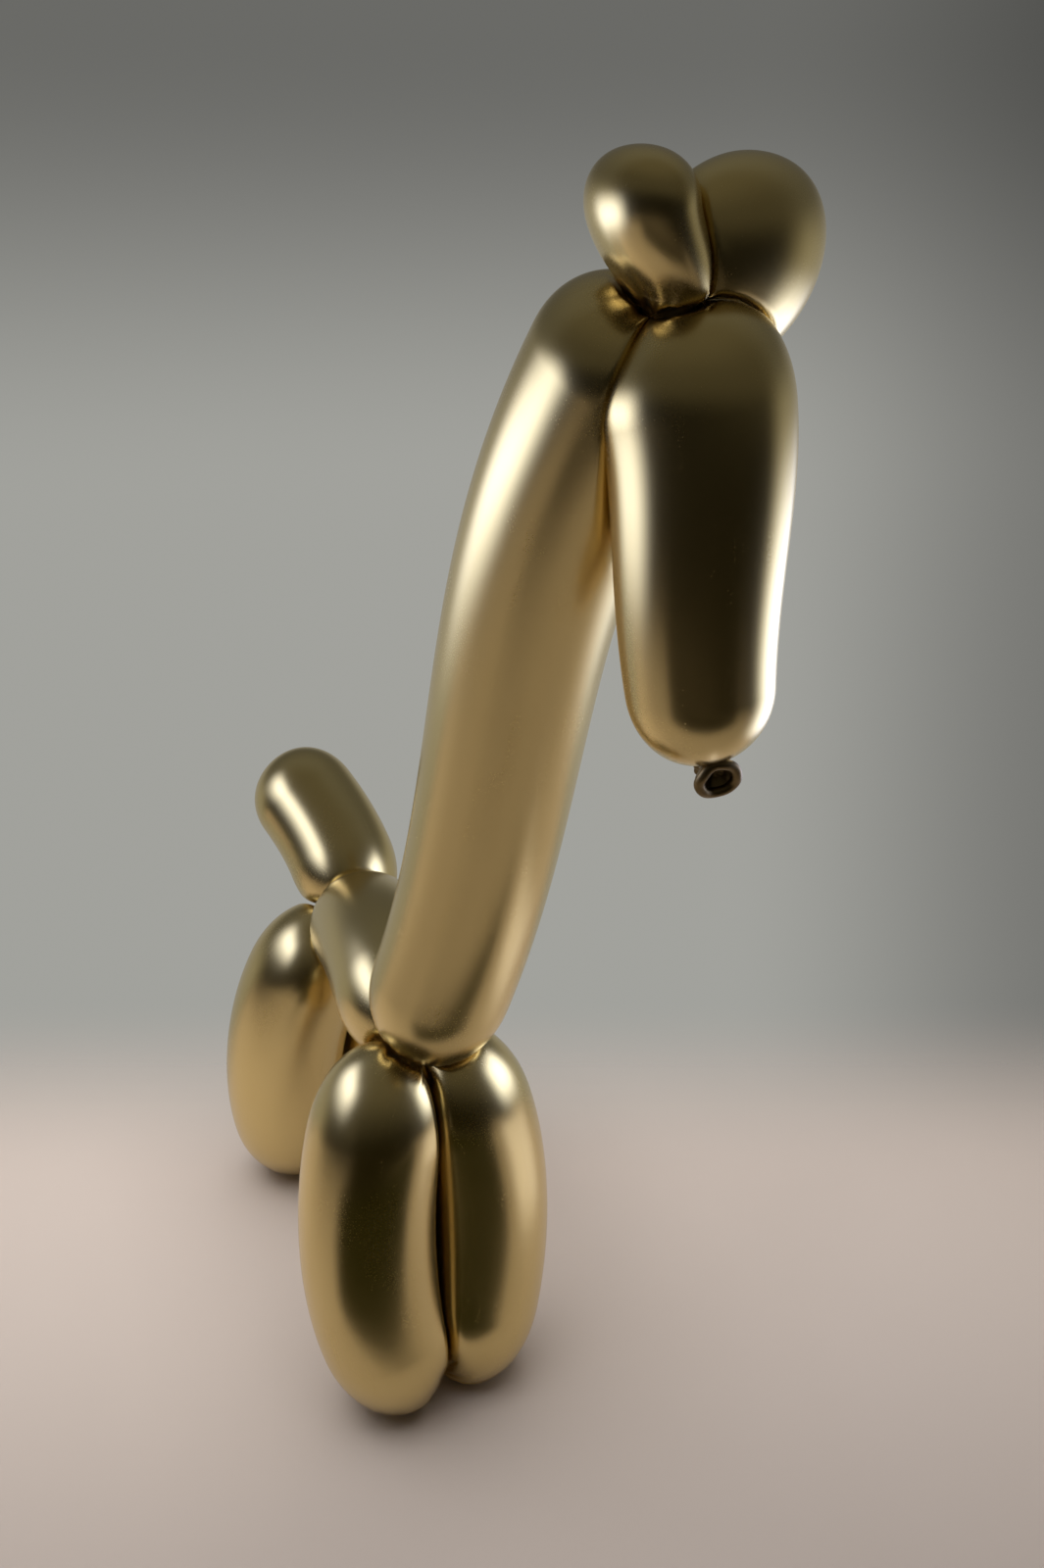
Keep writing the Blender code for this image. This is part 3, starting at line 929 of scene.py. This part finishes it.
@dataclass
class Studio:
    """A pale floor, a grey backdrop, soft lights and the camera.

    The camera looks the way the photograph does. Wide lights above light the floor. What the balloon
    mirrors is set apart from them: bright panels to either side and a dark room behind the camera.

    Args:
        eye: Where the camera is.
        gaze: Which way it looks.
        lens: Focal length in mm.
        film_height: Height of the picture on the film in mm.
        backdrop: Colour of the backdrop as the camera sees it.
        dark_above: How much darker the backdrop is painted upwards, a painted shade.
        dark_aside: How much darker it is painted to the right, a painted shade.
        paper: Colour of the floor.
        mottle: Colour of its darkest blotches, as a share.
        painted_near_shade: Painted shade of the floor on the camera's side, where the light falls off, as a share.
        far_tint: Colour of what is mirrored from beyond the figure.
        near_tint: Colour of what is mirrored from the camera's side.
        far_glow: Brightness mirrored from beyond, low down, and how much of it is lost higher up.
        near_glow: Brightness mirrored from the camera's side, low down, and how much is added higher up.
        zenith_glow: Brightness added straight above.
        cards: Sheets that only the balloon mirrors.
    """

    eye: Triple = (-0.1566, -0.3679, 0.3817)
    gaze: Triple = (0.4451, 0.8150, -0.3710)
    lens: float = 29.25
    film_height: float = 36.0
    backdrop: Colour = (0.36, 0.36, 0.335, 1.0)
    dark_above: float = 0.6
    dark_aside: float = 0.5
    paper: Colour = (0.66, 0.56, 0.50, 1.0)
    mottle: float = 0.93
    painted_near_shade: float = 0.62
    far_tint: Colour = (1.0, 1.0, 0.95, 1.0)
    near_tint: Colour = (1.0, 0.93, 0.72, 1.0)
    far_glow: Pair = (0.36, 0.25)
    near_glow: Pair = (0.01, 0.062)
    zenith_glow: float = 0.05
    cards: tuple[Card, ...] = (
        Card("left_panel", (-0.24, -0.03, 0.31), 0.42, 0.28, (1.0, 0.0, 0.0), (2.6, 2.9, 4.4), (0.4, 0.5)),
        Card("right_panel", (0.27, 0.02, 0.215), 0.32, 0.28, (-1.0, 0.0, 0.0), (2.9, 3.25, 4.9), (0.4, 0.4)),
        # painted shade: the two flags are dark sheets that only the mirror sees, for the unlit camera side, with a
        # faint warm glow
        Card("low_flag", (0.02, -0.125, 0.0), 0.24, 0.19, (0.0, 1.0, 0.0), (0.022, 0.020, 0.004), (0.15, 0.1)),
        Card("dark_room_side", (0.10, -0.34, 0.0), 0.72, 0.80, (0.0, 1.0, 0.0), (0.010, 0.008, 0.001), (0.15, 0.4)),
        Card("low_right_panel", (0.15, -0.04, 0.045), 0.16, 0.11, (-1.0, 0.0, 0.0), (1.0, 0.95, 1.1), (0.35, 0.3)),
    )

    BLACK = (0.0, 0.0, 0.0, 1.0)

    def ahead(self) -> np.ndarray:
        """The level direction away from the camera."""
        return unit(np.array([self.gaze[0], self.gaze[1], 0.0]))

    def axes(self) -> np.ndarray:
        """The camera's right, ahead and up as rows, all level or upright."""
        forward = self.ahead()
        return np.array([[forward[1], -forward[0], 0.0], forward, [0.0, 0.0, 1.0]])

    def camera(self) -> None:
        """Set up the camera."""
        data = bpy.data.cameras.new("camera")
        data.sensor_fit = "VERTICAL"
        data.sensor_height = self.film_height
        data.lens = self.lens
        data.clip_start = 0.01
        item = bpy.data.objects.new("camera", data)
        item.location = self.eye
        item.rotation_euler = Vector(self.gaze).to_track_quat("-Z", "Y").to_euler()
        bpy.context.scene.collection.objects.link(item)
        bpy.context.scene.camera = item

    def soft_light(
        self, name: str, place: Triple, width: float, power: float,
        target: Triple = (0.0, 0.0, 0.0),
    ) -> None:
        """A wide soft box that lights the floor and isn't mirrored.

        Args:
            name: Its name.
            place: Where it is, as metres to the camera's right, ahead and up.
            width: Its width.
            power: Its power in watts.
            target: The point it faces.
        """
        data = bpy.data.lights.new(name, "AREA")
        data.shape = "SQUARE"
        data.size = width
        data.energy = power
        item = bpy.data.objects.new(name, data)
        item.location = np.array(place) @ self.axes()
        item.rotation_euler = (Vector(target) - item.location).to_track_quat("-Z", "Y").to_euler()
        item.visible_camera = item.visible_glossy = False
        bpy.context.scene.collection.objects.link(item)

    def floor(self) -> None:
        """A round sheet of pale paper that fades into the backdrop with distance."""
        rings = np.array([0.0, 0.1, 0.2, 0.3, 0.4, 0.5, 0.6, 0.8, 1.0, 1.3])[:, None]
        turn = np.linspace(0.0, 2 * np.pi, 96, endpoint=False)[None]
        points = np.stack([rings * np.cos(turn), rings * np.sin(turn), 0 * rings * turn], axis=-1)
        count, sides = points.shape[:2]
        row, side = np.meshgrid(np.arange(count - 1), np.arange(sides), indexing="ij")
        here, beside = row * sides + side, row * sides + (side + 1) % sides
        faces = np.stack([here, here + sides, beside + sides, beside], axis=-1).reshape(-1, 4)
        mesh = bpy.data.meshes.new("floor")
        mesh.from_pydata(points.reshape(-1, 3).tolist(), [], faces.tolist())
        item = bpy.data.objects.new("floor", mesh)
        bpy.context.scene.collection.objects.link(item)
        mesh.materials.append(self.paper_material())
        item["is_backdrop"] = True
        LOG.info("floor")

    def darker(self, share: float) -> Colour:
        """The paper's colour, made darker."""
        return tuple(share * channel for channel in self.paper[:3]) + (1.0,)

    def paper_material(self) -> bpy.types.Material:
        """Pale paper with a soft mottle and painted shade on the camera's side, clear past its faded edge."""
        material, graph, shader = new_material("pale_paper")
        place = graph.node("ShaderNodeTexCoord", output=3)
        mottle = graph.noise(place, 9.0, 3.0)
        colour = graph.mix(mottle, self.paper, self.darker(self.mottle))
        behind = graph.dot(place, tuple(self.ahead()))
        # painted shade: the paper darkens towards the camera, where the light falls off
        colour = graph.mix(graph.smooth(behind, 0.06, -0.2), colour, self.darker(self.painted_near_shade))
        distance = graph.node("ShaderNodeVectorMath", {"operation": "LENGTH"}, {0: place}, 1)
        clear = graph.maths("MAXIMUM", graph.smooth(behind, 0.07, 0.23), graph.smooth(distance, 0.55, 1.1))
        graph.tree.links.new(colour.socket, shader.inputs["Base Color"])
        graph.tree.links.new((1 - clear).socket, shader.inputs["Alpha"])
        shader.inputs["Roughness"].default_value = 0.85
        return material

    def world(self) -> None:
        """Grey backdrop for the camera, and for reflections a dark room side with a grey far side.

        The backdrop is its colour times one less each darkening, a painted shade upwards and to the right. What is
        mirrored blends from the near glow to the far one by the direction towards the camera, and changes with
        height.
        """
        world = bpy.data.worlds.new("studio")
        bpy.context.scene.world = world
        world.use_nodes = True
        graph = Graph(world.node_tree)
        background = world.node_tree.nodes["Background"]
        direction = graph.node("ShaderNodeTexCoord", output=0)
        height = graph.dot(direction, (0.0, 0.0, 1.0))
        towards = graph.dot(direction, tuple(-self.ahead()))
        aside = graph.dot(direction, tuple(self.axes()[0]))
        # painted shade: the backdrop seen by the camera darkens upwards and to the right
        upwards = 1.0 - graph.smooth(height, -0.15, 0.15) * self.dark_above
        shade = upwards * (1.0 - graph.smooth(aside, 0.15, 0.42) * self.dark_aside)
        seen = graph.mix(shade, self.BLACK, self.backdrop)
        far = graph.smooth(towards, 0.25, -0.35)
        above = graph.smooth(height, -0.1, 0.35)
        zenith = graph.smooth(height, 0.4, 1.0)
        beyond = far * (self.far_glow[0] - above * self.far_glow[1])
        level = beyond + (1 - far) * (self.near_glow[0] + above * self.near_glow[1]) + zenith * self.zenith_glow
        mirrored = graph.mix(level, self.BLACK, graph.mix(far, self.near_tint, self.far_tint))
        camera_ray = graph.node("ShaderNodeLightPath", output=0)
        graph.tree.links.new(graph.mix(camera_ray, mirrored, seen).socket, background.inputs["Color"])

    def build(self) -> None:
        """Set up the whole studio."""
        self.camera()
        self.world()
        self.floor()
        for card in self.cards:
            card.build(self.axes())
        self.soft_light("overhead_light", (-0.05, -0.02, 0.75), 0.8, 6.0)
        self.soft_light("high_left_light", (-0.5, 0.0, 0.8), 0.7, 1.6)
        bpy.context.scene.view_settings.view_transform = "Standard"


def main() -> None:
    """Build the figure and the studio."""
    logging.basicConfig(level=logging.INFO, format="%(message)s")
    Giraffe().build()
    Studio().build()


if __name__ == "__main__":
    main()
